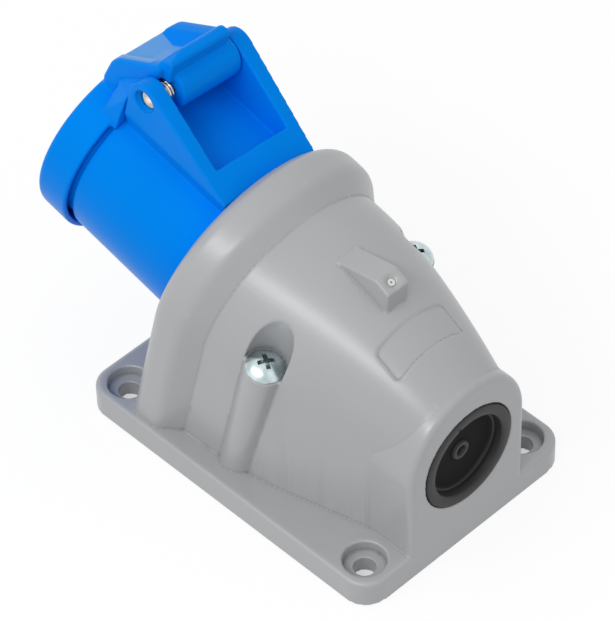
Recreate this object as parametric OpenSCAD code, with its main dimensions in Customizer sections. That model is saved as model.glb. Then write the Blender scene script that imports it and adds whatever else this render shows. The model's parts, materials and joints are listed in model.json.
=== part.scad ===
// Angled industrial wall socket: grey housing, blue socket with a sprung lid, cable grommet.
// The back of the flange lies on z = 0 and the object rests on it, +Z points away from the wall.
// +X runs from the lid to the cable entry. All sizes are in millimetres.

/* [Flange] */
// length along X
flange_length = 102.7; // [100:0.1:120]
// width along Y
flange_width = 73.1; // [72:0.1:90]
// height of the flange rim
flange_height = 7.8; // [7:0.1:10]
// radius of the flange corners
flange_corner = 7; // [6.5:0.5:12]
// fixing hole spacing along X
hole_spacing_x = 86; // [84:0.5:90]
// fixing hole spacing along Y
hole_spacing_y = 57; // [55:0.5:60]
// fixing hole diameter
hole_diameter = 5.8; // [4.5:0.1:6.5]
// counterbore diameter of the fixing holes
counterbore_diameter = 11.4; // [10:0.1:12]

/* [Housing] */
// wall thickness of the moulding
wall = 2.8; // [2.2:0.1:3.2]
// angle of the socket axis above the wall plane
axis_tilt = 14; // [12:0.5:16]
// height of the collar centre above the wall
collar_centre_z = 48.5; // [47:0.1:50]
// radius of the collar band
collar_radius = 34.7; // [34:0.1:35.5]
// width of the collar band along the axis
collar_band = 10; // [9:0.1:11]
// radius of the body behind the collar
body_radius = 30.2; // [29.6:0.1:30.8]
// half width of the cable entry block
entry_half_width = 20.4; // [19.5:0.1:21.5]
// height of the crown of the cable entry block
entry_top = 53.2; // [52:0.1:55]
// height of the cable entry centre
entry_centre_z = 29.8; // [28:0.1:31]

/* [Socket] */
// turn of the socket in the collar
socket_turn = 6; // [0:0.5:8]
// outer radius of the socket barrel
barrel_radius = 25.1; // [24.8:0.1:25.6]
// how far the barrel stands out of the collar
barrel_length = 44.4; // [43:0.1:46]
// inner radius of the plug well
well_radius = 21.6; // [21:0.1:22]
// radius of the contact pitch circle
contact_circle = 11.75; // [11:0.05:12.5]
// diameter of the plug pins for line and neutral
pin_diameter = 5; // [4.5:0.1:5.5]
// diameter of the earth pin
earth_pin_diameter = 6; // [5.6:0.1:6.4]

/* [Hinge and lid] */
// outer radius of the lid
lid_radius = 27; // [26.8:0.1:27.6]
// depth of the lid skirt
lid_depth = 10.4; // [9.6:0.1:11]
// distance of the hinge pin from the collar face
pin_reach = 31.6; // [31:0.1:32.4]
// height of the hinge pin above the socket axis
pin_height = 36.7; // [36:0.1:37.5]
// radius of the hinge pin
pin_radius = 2; // [1.6:0.05:2.2]
// running clearance of the lid on the pin
pin_clearance = 0.05; // [0.02:0.01:0.1]
// half width of the space between the hinge ears
slot_half_width = 12.5; // [12.2:0.1:13]
// thickness of one hinge ear
ear_thickness = 4.8; // [4:0.1:5.5]

/* [Hidden] */
$fn = 72;

grey = [0.63, 0.63, 0.64];
blue = [0.0, 0.45, 0.93];
black = [0.12, 0.12, 0.12];
steel = [0.72, 0.74, 0.76];
brass = [0.80, 0.65, 0.30];
pale = [0.88, 0.88, 0.86];

collar_x = -26.7;
entry_x = flange_length / 2;
cone_end = collar_band + 5.3;
cone_radius = body_radius + 0.25;
collar_edge = 4.4;
shoulder_round = 5;

// dome between the back rim of the collar and the cable entry block
dome_x = collar_x + cone_end * cos(axis_tilt) + body_radius * sin(axis_tilt);
dome_z = collar_centre_z - cone_end * sin(axis_tilt) + body_radius * cos(axis_tilt);
dome_run = entry_x - 5.85 - dome_x;
dome_bow = 0.3;
dome_end_half = entry_half_width - 2.4;
block_start = entry_x - 23;
// [share of the run, share of the narrowing]
dome_stations = [
    [0.13, 0.131], [0.29, 0.23], [0.45, 0.389], [0.61, 0.566], [0.81, 0.787], [1, 1], [1.065, 1.074]
];
flange_skin = 3.2;
hole_boss = counterbore_diameter / 2 + 2.9;

// the two fixing screws stand square to the socket axis
screw_s = -32.4;
screw_y = 26.4;
screw_seat = 8.3;
column_radius = 5.3;
pocket_radius = 6.2;

// seat of the socket in the collar
seat_radius = collar_radius - 4.1;
flange_disc = 2.5;
gasket_depth = 1.5;
ledge_depth = 2;
ledge_radius = 27.2;

// insert and contacts
tail_radius = 20.6;
tail_bore = 18.6;
tail_end = -27;
head_bore = well_radius - 1;
carrier_front = 6;
carrier_back = -23;
carrier_gap = 0.15;
carrier_screw_h = -7;
carrier_screw_y = 13;
eye_radius = 5.3;
ear_slope = 25.6;
ear_outer = slot_half_width + ear_thickness;
web_end = 8;
lid_front = barrel_length + 5.3;
lid_wall = 3.6;
lid_edge = 1.6;
neck_front = lid_front - 1.3;
lid_rear = lid_front - lid_depth;
skirt_bore = lid_radius - 1.6;
spigot_radius = skirt_bore - 1.3;
knuckle_radius = 5.8;
knuckle_near = -8.4;
knuckle_far = slot_half_width - 0.4;
spring_wire = 0.5;
spring_radius = pin_radius + 0.25 + spring_wire;
leg_y = -knuckle_near + 0.1 + spring_wire * 6.76;
slot_floor = barrel_radius + 0.3;
leg_length = pin_height - spring_radius - slot_floor - 0.4;
rib_inner = 9.4;
neck_half = slot_half_width - 0.6;
grommet_radius = 15.1;
entry_wall = 3;

// frame of the socket axis: X up from the axis, Y along the wall, Z out of the collar
module on_axis() {
    translate([collar_x, 0, collar_centre_z])
        rotate([0, axis_tilt - 90, 0])
            children();
}

// the same frame turned with the socket
module in_socket() {
    on_axis()
        rotate([0, 0, socket_turn])
            children();
}

// everything above a level
module above(level) {
    intersection() {
        children();
        translate([-150, -150, level])
            cube([300, 300, 300]);
    }
}

// tube between two stations on the local Z axis
module tube(outer, inner, low, high) {
    difference() {
        translate([0, 0, low])
            cylinder(r = outer, h = high - low);
        translate([0, 0, low - 1])
            cylinder(r = inner, h = high - low + 2);
    }
}

// plate cut to a side outline given as [along the axis, up] and centred on y
module side_plate(outline, width) {
    rotate([0, 0, 180])
        rotate([90, 0, 0])
            rotate([0, 0, 90])
                translate([0, 0, -width / 2])
                    linear_extrude(width)
                        polygon(outline);
}

// round-topped outline standing on the wall, drawn around the socket axis
module arch_slab(radius, low, high) {
    translate([0, 0, low]) {
        cylinder(r = radius, h = high - low);
        translate([-75, -radius, 0])
            cube([75, 2 * radius, high - low]);
    }
}

// upright round-topped section of the body at one x
module arch_section(x, half_width, top, thick) {
    translate([x - thick / 2, 0, top - half_width])
        rotate([0, 90, 0])
            cylinder(r = half_width, h = thick, $fn = 64);
    translate([x - thick / 2, -half_width, -1])
        cube([thick, 2 * half_width, top - half_width + 1]);
}

// crown height and half width of the dome at a share of its run from collar to cable entry
function dome_crown(along) =
    dome_z - (dome_z - entry_top - 2.5) * (dome_bow * along + (1 - dome_bow) * along * along);
function dome_half(narrowing) = body_radius - (body_radius - dome_end_half) * narrowing;

// dome lofted from the collar to the cable entry, with the arched entry block at its end
module body_outer(inset) {
    inner_end = inset > 0 ? entry_wall : 0;
    above(inset > 0 ? -0.9 : 0) {
        hull() {
            above(-1)
                on_axis()
                    arch_slab(body_radius - inset, -cone_end - 0.2 - inset, -cone_end + 0.6);
            for (station = dome_stations)
                if (inset == 0 || station[0] <= 1)
                    arch_section(dome_x + dome_run * station[0], dome_half(station[1]) - inset,
                        dome_crown(station[0]) - inset, 0.4);
        }
        arch_section((block_start + entry_x - inner_end) / 2, entry_half_width - inset,
            entry_top - inset, entry_x - inner_end - block_start);
    }
}

// one side of the collar, [radius, along the axis]: cone, rounded shoulder, band, rounded front edge
shoulder_turn = atan((collar_radius - cone_radius) / (cone_end - collar_band));
shoulder_centre = -collar_band + shoulder_round * tan(shoulder_turn / 2);
collar_profile = concat(
    [[0, -cone_end], [cone_radius, -cone_end]],
    [for (i = [0 : 4])
        let (a = shoulder_turn * (1 - i / 4))
            [collar_radius + shoulder_round * (cos(a) - 1), shoulder_centre - shoulder_round * sin(a)]],
    [for (i = [0 : 6])
        let (a = 15 * i)
            [collar_radius + collar_edge * (cos(a) - 1), collar_edge * (sin(a) - 1)]],
    [[0, 0]]
);

module collar_outer() {
    above(0)
        on_axis() {
            rotate_extrude()
                polygon(collar_profile);
            translate([-75, 0, 0])
                rotate([0, 90, 0])
                    linear_extrude(75)
                        for (side = [-1, 1])
                            polygon([for (p = collar_profile) [-p[1], side * p[0]]]);
        }
}

module collar_cavity() {
    above(-0.9)
        on_axis()
            arch_slab(body_radius - wall - 0.4, -cone_end - 1, -wall);
}

module rounded_plate(length, width, corner, low, high) {
    for (x = [-1, 1], y = [-1, 1])
        translate([x * (length / 2 - corner), y * (width / 2 - corner), low])
            cylinder(r = corner, h = high - low);
    translate([corner - length / 2, -width / 2, low])
        cube([length - 2 * corner, width, high - low]);
    translate([-length / 2, corner - width / 2, low])
        cube([length, width - 2 * corner, high - low]);
}

module at_wall_holes() {
    for (x = [-1, 1], y = [-1, 1])
        translate([x * hole_spacing_x / 2, y * hole_spacing_y / 2, 0])
            children();
}

module at_fixing_screw(side) {
    on_axis()
        translate([0, side * screw_y, screw_s])
            rotate([0, 90, 0])
                children();
}

// ramp on the dome that carries the drain hole
module drain_boss() {
    translate([0, 3.7, 0])
        rotate([90, 0, 0])
            linear_extrude(7.4)
                polygon([[9.5, 71], [10.2, 71.9], [23, 74.2], [27.3, 71.9], [26.3, 64], [20, 62]]);
}

module at_drain() {
    translate([25.15, 0, 73.05])
        rotate([0, 28, 0])
            children();
}

module housing_outer() {
    rounded_plate(flange_length, flange_width, flange_corner, 0, flange_height);
    body_outer(0);
    collar_outer();
    for (side = [-1, 1])
        above(0)
            at_fixing_screw(side)
                translate([0, 0, -60])
                    cylinder(r = column_radius, h = 61 + screw_seat);
    drain_boss();
}

module flange_hollow() {
    difference() {
        rounded_plate(flange_length - 2 * wall, flange_width - 2 * wall, flange_corner - wall, -1,
            flange_height - flange_skin);
        body_outer(0);
        on_axis()
            arch_slab(collar_radius + 1, -cone_end, 0.6);
        for (side = [-1, 1])
            at_fixing_screw(side)
                translate([0, 0, -60])
                    cylinder(r = column_radius + 1.4, h = 60);
        at_wall_holes()
            translate([0, 0, -2])
                cylinder(r = hole_boss, h = flange_height);
        for (x = [-28, 0, 28])
            translate([x - 1, -60, -2])
                cube([2, 120, flange_height]);
    }
}

module housing() {
    color(grey)
        difference() {
            union() {
                difference() {
                    housing_outer();
                    body_outer(wall);
                    collar_cavity();
                    flange_hollow();
                    for (side = [-1, 1])
                        at_fixing_screw(side)
                            translate([0, 0, -60])
                                cylinder(r = column_radius - 1.4, h = 60 + screw_seat - 3.6);
                }
                on_axis()
                    tube(collar_radius - 1.7, ledge_radius, -flange_disc - gasket_depth - ledge_depth, -1.5);
                intersection() {
                    body_outer(0);
                    for (side = [-1, 1])
                        at_fixing_screw(side)
                            translate([0, 0, screw_seat - 3.6])
                                cylinder(r = pocket_radius + 1.6, h = 50);
                }
            }
            on_axis()
                translate([0, 0, -flange_disc - gasket_depth])
                    cylinder(r = seat_radius, h = 20);
            for (side = [-1, 1])
                at_fixing_screw(side) {
                    translate([0, 0, screw_seat])
                        cylinder(r = pocket_radius, h = 60);
                    translate([0, 0, screw_seat - 6])
                        cylinder(r = 2.3, h = 12);
                }
            at_wall_holes() {
                translate([0, 0, -1])
                    cylinder(d = hole_diameter, h = flange_height + 2);
                translate([0, 0, flange_height - 3])
                    cylinder(d = counterbore_diameter, h = 4);
            }
            translate([entry_x - 12, 0, entry_centre_z])
                rotate([0, 90, 0])
                    cylinder(r = grommet_radius - 1.6, h = 20);
            translate([entry_x - 1.5, 0, entry_centre_z])
                rotate([0, 90, 0])
                    cylinder(r = grommet_radius + 0.2, h = 5);
            at_drain() {
                translate([0, 0, -20])
                    cylinder(r = 1.05, h = 30);
                translate([0, 0, -0.75])
                    cylinder(r1 = 1.05, r2 = 3.65, h = 1.5);
            }
        }
}

// the outline of one hinge ear, [along the axis, up]
ear_line = pin_height + eye_radius / cos(ear_slope) - pin_reach * tan(ear_slope);
ear_points = [
    [0.2, 8],
    [0.2, ear_line + 0.2 * tan(ear_slope)],
    [pin_reach - eye_radius * sin(ear_slope), pin_height + eye_radius * cos(ear_slope)],
    [pin_reach, pin_height],
    [pin_reach + eye_radius, pin_height],
    [pin_reach + eye_radius, 8]
];

module bracket() {
    difference() {
        intersection() {
            union() {
                side_plate(ear_points, 2 * ear_outer);
                translate([pin_height, ear_outer, pin_reach])
                    rotate([90, 0, 0])
                        cylinder(r = eye_radius, h = 2 * ear_outer);
            }
            translate([0, 0, -1])
                linear_extrude(60)
                    polygon([[18, -12.4], [29, -ear_outer], [60, -ear_outer], [60, ear_outer],
                        [29, ear_outer], [18, 12.4]]);
        }
        translate([slot_floor, -slot_half_width, web_end])
            cube([60, 2 * slot_half_width, 60]);
        translate([pin_height, 0, pin_reach])
            rotate([90, 0, 0])
                translate([0, 0, -50])
                    cylinder(r = pin_radius, h = 100);
        for (side = [-1, 1])
            translate([pin_height, side * ear_outer, pin_reach])
                rotate([90, 0, 0])
                    translate([0, 0, -1.4])
                        cylinder(r = 3.5, h = 2.8);
    }
}

module socket_shell() {
    color(blue)
        difference() {
            union() {
                in_socket() {
                    translate([0, 0, -flange_disc])
                        cylinder(r = barrel_radius, h = flange_disc + lid_rear - 0.7);
                    translate([0, 0, lid_rear - 1])
                        cylinder(r = spigot_radius, h = barrel_length - lid_rear + 1);
                    translate([0, 0, -flange_disc])
                        cylinder(r = seat_radius - 0.3, h = flange_disc);
                    translate([0, 0, tail_end])
                        cylinder(r = tail_radius, h = -tail_end);
                    bracket();
                }
                for (side = [-1, 1]) {
                    on_axis()
                        translate([-3.9, side > 0 ? 17 : -22.8, screw_s - 3.2])
                            cube([8.2, 5.8, 3.2 + 16 - screw_s + tail_end - 10]);
                    on_axis()
                        translate([-3.9, side > 0 ? 20 : -screw_y, screw_s - 2.4])
                            cube([8.2, screw_y - 20, 4.8]);
                    at_fixing_screw(side)
                        translate([0, 0, -3.9])
                            cylinder(r = column_radius - 1.8, h = 8.2);
                }
            }
            in_socket() {
                translate([0, 0, carrier_front + carrier_gap])
                    cylinder(r = well_radius, h = 60);
                translate([0, 0, carrier_front - 3])
                    cylinder(r = head_bore, h = 10);
                translate([0, 0, -60])
                    cylinder(r = tail_bore, h = 60 + carrier_front);
                translate([-well_radius - 1.8, -3, carrier_front + 8])
                    cube([8, 6, 60]);
            }
            for (side = [-1, 1])
                at_fixing_screw(side)
                    translate([0, 0, -10])
                        cylinder(r = 2.7, h = 20);
        }
}

module collar_gasket() {
    color(black)
        on_axis()
            tube(seat_radius - 0.3, ledge_radius + 0.2, -flange_disc - gasket_depth, -flange_disc);
}

// gusset beside the lid neck: low where it leaves the skirt, high in front of the hinge eye
module lid_gusset(side) {
    gusset_rear = pin_reach + eye_radius + 0.7;
    hull() {
        translate([0, 0, gusset_rear])
            linear_extrude(0.2)
                polygon([[18, side * 11], [18, side * 16.6], [22.4, side * 16.6], [31.4, side * 15.8],
                    [35.6, side * 12.6], [35.6, side * 11]]);
        translate([0, 0, 43.3])
            linear_extrude(0.2)
                polygon([[18, side * 11], [18, side * 16.6], [21, side * 16.6], [24, side * 12],
                    [30.2, side * 11.6], [30.2, side * 11]]);
    }
}

module lid() {
    color(blue)
        in_socket()
            difference() {
                union() {
                    rotate_extrude() {
                        translate([0, lid_rear])
                            square([lid_radius, lid_depth - lid_edge]);
                        translate([0, lid_rear])
                            square([lid_radius - lid_edge, lid_depth]);
                        translate([lid_radius - lid_edge, lid_front - lid_edge])
                            circle(r = lid_edge);
                    }
                    side_plate([[neck_front, 22], [neck_front - 0.4, 31], [neck_front - 1.4, 32.6],
                        [34.5, 42.4], [31.2, pin_height], [34.6, 37.6], [43.4, 30.4], [44, 22]],
                        2 * neck_half);
                    for (side = [-1, 1])
                        translate([0, side * (neck_half + rib_inner) / 2, 0])
                            side_plate([[neck_front, 22], [neck_front - 0.4, 33.4],
                                [neck_front - 1.6, 35.2], [35.2, 44.3], [33.6, 42.6],
                                [34.6, 38.6], [43.4, 30.4], [44, 22]], neck_half - rib_inner);
                    side_plate([[34.3, 41], [34.2, 46], [33.4, 46.8], [31.4, 46.8], [30.9, 46.2],
                        [30.6, 40]], 2 * rib_inner);
                    for (side = [-1, 1])
                        lid_gusset(side);
                    translate([pin_height, knuckle_far, pin_reach])
                        rotate([90, 0, 0])
                            cylinder(r = knuckle_radius, h = knuckle_far - knuckle_near);
                }
                translate([0, 0, -1])
                    cylinder(r = skirt_bore, h = lid_front - lid_wall + 1);
                translate([0, 0, -1])
                    cylinder(r = barrel_radius + 0.6, h = lid_rear + 1);
                translate([pin_height, 50, pin_reach])
                    rotate([90, 0, 0])
                        cylinder(r = pin_radius + pin_clearance, h = 100);
                translate([pin_height, knuckle_near, pin_reach])
                    rotate([90, 0, 0])
                        cylinder(r = spring_radius + spring_wire + 0.5, h = 20);
            }
}

module lid_gasket() {
    color(black)
        in_socket()
            tube(skirt_bore - 0.1, well_radius - 0.6, barrel_length + 0.15, lid_front - lid_wall);
}

module hinge_pin() {
    color(steel)
        in_socket()
            translate([pin_height, 0, pin_reach])
                rotate([90, 0, 0]) {
                    translate([0, 0, 0.6 - ear_outer])
                        cylinder(r = pin_radius, h = 2 * ear_outer - 1.2);
                    for (side = [-1, 1])
                        translate([0, 0, side * (ear_outer - 0.9) - 0.5])
                            cylinder(r = 3, h = 1);
                }
}

module lid_spring() {
    color(steel)
        in_socket()
            translate([pin_height, 0, pin_reach])
                rotate([90, 0, 0]) {
                    for (turn = [0 : 3])
                        translate([0, 0, -knuckle_near + 0.1 + spring_wire + turn * 1.92 * spring_wire])
                            rotate_extrude()
                                translate([spring_radius, 0])
                                    circle(r = spring_wire, $fn = 16);
                    translate([-spring_radius, 0, leg_y])
                        rotate([0, -90, 0])
                            cylinder(r = spring_wire - 0.05, h = leg_length, $fn = 16);
                }
}

module at_contacts() {
    for (turn = [60, -60])
        rotate([0, 0, turn])
            translate([contact_circle, 0, 0])
                children(0);
    translate([-contact_circle, 0, 0])
        children(1);
}

line_tube = pin_diameter / 2 + 1.1;
earth_tube = earth_pin_diameter / 2 + 1.1;

module contact_carrier() {
    color(black)
        in_socket()
            difference() {
                union() {
                    translate([0, 0, carrier_back])
                        cylinder(r = tail_bore - carrier_gap, h = carrier_front - carrier_back);
                    translate([0, 0, carrier_front - 3 + carrier_gap])
                        cylinder(r = head_bore - carrier_gap, h = 3);
                }
                translate([0, 0, carrier_back - 1])
                    at_contacts() {
                        cylinder(r = line_tube + 0.1, h = 60);
                        cylinder(r = earth_tube + 0.1, h = 60);
                    }
                translate([0, 0, carrier_front - 5])
                    at_contacts() {
                        cylinder(r = line_tube + 0.9, h = 3);
                        cylinder(r = earth_tube + 0.9, h = 3);
                    }
                for (side = [-1, 1])
                    translate([carrier_screw_h, side * carrier_screw_y, carrier_back - 1])
                        cylinder(r = 1.25, h = 12);
            }
}

module carrier_retainer() {
    color(pale)
        in_socket()
            difference() {
                tube(tail_bore - carrier_gap, 3, carrier_back - 2.5, carrier_back);
                translate([0, 0, carrier_back - 4])
                    at_contacts() {
                        cylinder(r = line_tube + 0.3, h = 8);
                        cylinder(r = earth_tube + 0.3, h = 8);
                    }
                for (side = [-1, 1])
                    translate([carrier_screw_h, side * carrier_screw_y, carrier_back - 4])
                        cylinder(r = 1.5, h = 8);
            }
}

module carrier_screws() {
    color(steel)
        in_socket()
            for (side = [-1, 1])
                translate([carrier_screw_h, side * carrier_screw_y, carrier_back - 2.5])
                    difference() {
                        union() {
                            translate([0, 0, -1.6])
                                cylinder(r = 2.4, h = 1.6);
                            cylinder(r = 1.2, h = 11);
                        }
                        translate([-0.3, -3, -2])
                            cube([0.6, 6, 1.2]);
                    }
}

// contact tube with a terminal block at its back end
module contact_body(outer, bore) {
    difference() {
        union() {
            translate([0, 0, carrier_back - 2.6])
                cylinder(r = outer, h = carrier_front - 1 - carrier_back + 2.6);
            translate([-4, -4, carrier_back - 13])
                cube([8, 8, 10.4]);
        }
        translate([0, 0, carrier_front - 20])
            cylinder(r = bore, h = 30);
        translate([0, 0, carrier_back - 14])
            cylinder(r = 2.2, h = 10.5);
        translate([0, 0, carrier_back - 7.8])
            rotate([0, 90, 0])
                cylinder(r = 1.75, h = 10);
        translate([-0.4, -10, carrier_front - 12])
            cube([0.8, 20, 30]);
    }
}

module contact_line() {
    color(brass)
        in_socket()
            rotate([0, 0, 60])
                translate([contact_circle, 0, 0])
                    contact_body(line_tube, pin_diameter / 2 + 0.05);
}

module contact_neutral() {
    color(brass)
        in_socket()
            rotate([0, 0, -60])
                translate([contact_circle, 0, 0])
                    contact_body(line_tube, pin_diameter / 2 + 0.05);
}

module contact_earth() {
    color(brass)
        in_socket()
            rotate([0, 0, 180])
                translate([contact_circle, 0, 0])
                    contact_body(earth_tube, earth_pin_diameter / 2 + 0.05);
}

module contact_rings() {
    color(steel)
        in_socket()
            translate([0, 0, carrier_front - 4.6])
                at_contacts() {
                    tube(line_tube + 0.75, line_tube + 0.03, 0, 2.2);
                    tube(earth_tube + 0.75, earth_tube + 0.03, 0, 2.2);
                }
}

module terminal_clamps() {
    color(steel)
        in_socket()
            for (turn = [60, -60, 180])
                rotate([0, 0, turn])
                    translate([contact_circle + 0.75, -1.4, carrier_back - 11.5])
                        cube([0.9, 2.8, 6]);
}

module terminal_screws() {
    color(steel)
        in_socket()
            for (turn = [60, -60, 180])
                rotate([0, 0, turn])
                    translate([contact_circle + 1.7, 0, carrier_back - 7.8])
                        rotate([0, 90, 0])
                            difference() {
                                cylinder(r = 1.7, h = 4.2);
                                translate([-0.3, -3, 3.2])
                                    cube([0.6, 6, 2]);
                            }
}

// pan head screw with a cross recess, head seat on z = 0
module pan_screw() {
    difference() {
        union() {
            rotate_extrude()
                intersection() {
                    translate([0, -2.9])
                        circle(r = 6.1);
                    square([5, 3.5]);
                }
            translate([0, 0, -13.5])
                cylinder(r = 1.95, h = 14);
        }
        for (turn = [0, 90])
            rotate([0, 0, turn + 20])
                translate([-1.9, -0.5, 1.6])
                    cube([3.8, 1, 4]);
    }
}

module fixing_screw_left() {
    color(steel)
        at_fixing_screw(-1)
            translate([0, 0, screw_seat])
                pan_screw();
}

module fixing_screw_right() {
    color(steel)
        at_fixing_screw(1)
            translate([0, 0, screw_seat])
                pan_screw();
}

module fixing_inserts() {
    color(brass)
        for (side = [-1, 1])
            at_fixing_screw(side)
                tube(2.7, 2, -3.9, 4.2);
}

module cable_grommet() {
    color(black)
        translate([entry_x, 0, entry_centre_z])
            rotate([0, 90, 0])
                rotate_extrude()
                    polygon([[1.1, -3.4], [2.2, -3.4], [2.4, -3], [3, -3.4], [10.6, -3.4], [11, -2.2],
                        [11.8, -2.2], [12, 0], [12.4, 0.3], [grommet_radius - 0.4, 0.3],
                        [grommet_radius, -0.1], [grommet_radius, -1.4], [grommet_radius - 1.7, -1.5],
                        [grommet_radius - 1.7, -entry_wall - 0.1], [grommet_radius, -entry_wall - 0.2],
                        [grommet_radius - 0.8, -6.2], [11, -6.2], [10, -4.8], [1.1, -4.8]]);
}

module drain_plug() {
    color(pale)
        at_drain()
            difference() {
                translate([0, 0, -4])
                    cylinder(r = 1, h = 3.3);
                translate([0, 0, -1.2])
                    cylinder(r = 0.3, h = 2);
            }
}

housing();
socket_shell();
collar_gasket();
lid();
lid_gasket();
hinge_pin();
lid_spring();
contact_carrier();
carrier_retainer();
carrier_screws();
contact_line();
contact_neutral();
contact_earth();
contact_rings();
terminal_clamps();
terminal_screws();
fixing_screw_left();
fixing_screw_right();
fixing_inserts();
cable_grommet();
drain_plug();
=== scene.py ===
import json
import math
import bpy
import bmesh
from mathutils import Matrix, Vector


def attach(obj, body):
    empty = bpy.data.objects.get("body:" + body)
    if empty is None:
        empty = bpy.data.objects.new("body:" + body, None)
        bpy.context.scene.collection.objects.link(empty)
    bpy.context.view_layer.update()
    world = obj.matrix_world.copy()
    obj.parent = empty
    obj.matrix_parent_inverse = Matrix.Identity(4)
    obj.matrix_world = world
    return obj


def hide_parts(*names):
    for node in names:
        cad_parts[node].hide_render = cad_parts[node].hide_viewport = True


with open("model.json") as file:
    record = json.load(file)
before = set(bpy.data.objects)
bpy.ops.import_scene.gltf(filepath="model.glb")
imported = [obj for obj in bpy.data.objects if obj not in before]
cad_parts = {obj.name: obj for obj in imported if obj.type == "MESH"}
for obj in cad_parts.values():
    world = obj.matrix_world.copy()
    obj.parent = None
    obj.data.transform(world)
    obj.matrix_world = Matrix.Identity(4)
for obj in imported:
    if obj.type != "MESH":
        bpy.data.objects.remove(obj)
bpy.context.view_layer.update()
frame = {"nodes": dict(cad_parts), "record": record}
scene = bpy.context.scene

# camera at the photo's viewing angle
camera = {
    "eye": (0.52063, -0.50100, 0.79530),
    "right": (0.70387, 0.71008, -0.01892),
    "up": (-0.50256, 0.51663, 0.69320),
    "back": (0.50200, -0.47841, 0.72049),
    "lens": 240.6, "sensor": 36, "clip": (0.1, 20),
}


def facing(right, up, back):
    return Matrix([right, up, back]).transposed().to_4x4()


def placeCamera():
    data = bpy.data.cameras.new("camera")
    data.lens = camera["lens"]
    data.sensor_width = camera["sensor"]
    data.clip_start, data.clip_end = camera["clip"]
    obj = bpy.data.objects.new("camera", data)
    scene.collection.objects.link(obj)
    turn = facing(camera["right"], camera["up"], camera["back"])
    obj.matrix_world = Matrix.Translation(camera["eye"]) @ turn
    scene.camera = obj


placeCamera()
print("camera placed")

# pieces are modelled in millimetres and brought to metres when they are finished
millimetre = 0.001
weld = 0.0005  # points closer than this become one
sides = (-1, 1)


def shift(x, y, z):
    return Matrix.Translation((x, y, z))


def rotation(degrees, axis):
    return Matrix.Rotation(math.radians(degrees), 4, axis)


placing = {"collarX": -26.7, "collarZ": 48.5, "tilt": 14, "turn": 6}
# X up from the socket axis, Y across, Z out of the collar
axisFrame = shift(placing["collarX"], 0, placing["collarZ"]) @ rotation(placing["tilt"] - 90, "Y")
socketFrame = axisFrame @ rotation(placing["turn"], "Z")


def asObject(bm, name, place=None):
    if place is not None:
        bmesh.ops.transform(bm, matrix=place, verts=bm.verts)
    bmesh.ops.remove_doubles(bm, verts=bm.verts, dist=weld)
    bmesh.ops.recalc_face_normals(bm, faces=bm.faces)
    mesh = bpy.data.meshes.new(name)
    bm.to_mesh(mesh)
    bm.free()
    obj = bpy.data.objects.new(name, mesh)
    scene.collection.objects.link(obj)
    return obj


def settle(obj):  # the modifiers become the mesh
    bpy.context.view_layer.update()
    shown = obj.evaluated_get(bpy.context.evaluated_depsgraph_get())
    mesh = bpy.data.meshes.new_from_object(shown)
    obj.modifiers.clear()
    old = obj.data
    obj.data = mesh
    bpy.data.meshes.remove(old)


def combine(obj, others, operation):
    for other in others:
        step = obj.modifiers.new("join", "BOOLEAN")
        step.object = other
        step.operation = operation
        step.solver = "MANIFOLD"
    settle(obj)
    for other in others:
        bpy.data.objects.remove(other)


def join(obj, *others):
    combine(obj, others, "UNION")


def cut(obj, *others):
    combine(obj, others, "DIFFERENCE")


def softened(obj, grain, passes, faces):  # rounds every edge a little, as a moulding tool leaves it
    remesh = obj.modifiers.new("grain", "REMESH")
    remesh.mode = "VOXEL"
    remesh.voxel_size = grain * 1
    smooth = obj.modifiers.new("soften", "SMOOTH")
    smooth.factor = 0.5
    smooth.iterations = passes
    settle(obj)
    count = len(obj.data.polygons) * 2
    if count > faces:
        thin = obj.modifiers.new("thin", "DECIMATE")
        thin.ratio = faces / count
        settle(obj)


def finished(obj, body, slot, replaced, sharp=None):
    obj.data.transform(Matrix.Scale(millimetre, 4))
    obj.data.shade_smooth()
    if sharp is not None:
        obj.data.set_sharp_from_angle(angle=math.radians(sharp))
    obj.data.materials.clear()
    obj.data.materials.append(finishes[slot])
    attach(obj, body)
    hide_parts(replaced)
    print("finished", obj.name, len(obj.data.polygons))


def rounded(bm, edges, width, segments=4):
    bmesh.ops.bevel(bm, geom=edges, offset=width, segments=segments, profile=0.5, affect="EDGES", material=-1)


def upright(bm):  # edges that stand along Z
    return [e for e in bm.edges if abs(e.verts[0].co.z - e.verts[1].co.z) > 0.5]


def rod(name, place, radius, low, high, edge=0, steps=64, endRadius=None):
    bm = bmesh.new()
    bmesh.ops.create_cone(
        bm, cap_ends=True, segments=steps, radius1=radius,
        radius2=radius if endRadius is None else endRadius, depth=high - low,
        matrix=shift(0, 0, (low + high) / 2),
    )
    if edge:
        rims = [e for e in bm.edges if len(e.link_faces) == 2 and e.calc_face_angle() > 1]
        rounded(bm, rims, edge)
    return asObject(bm, name, place)


def block(name, place, low, high):
    bm = bmesh.new()
    size = Vector(high) - Vector(low)
    middle = (Vector(high) + Vector(low)) / 2
    bmesh.ops.create_cube(bm, size=1, matrix=Matrix.Translation(middle) @ Matrix.Diagonal((*size, 1)))
    return asObject(bm, name, place)


def outlineSolid(bm, points, low, high, edge=0, segments=3):  # points lie in XZ, the solid runs along Y
    face = bm.faces.new([bm.verts.new((x, low, z)) for x, z in points])
    grown = bmesh.ops.extrude_face_region(bm, geom=[face])
    moved = [g for g in grown["geom"] if isinstance(g, bmesh.types.BMVert)]
    bmesh.ops.translate(bm, vec=(0, high - low, 0), verts=moved)
    bmesh.ops.recalc_face_normals(bm, faces=bm.faces)
    if edge:
        rounded(bm, bm.edges[:], edge, segments)


def outlined(name, place, points, half, edge=0, segments=3):
    bm = bmesh.new()
    outlineSolid(bm, points, -half, half, edge, segments)
    return asObject(bm, name, place)


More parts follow.
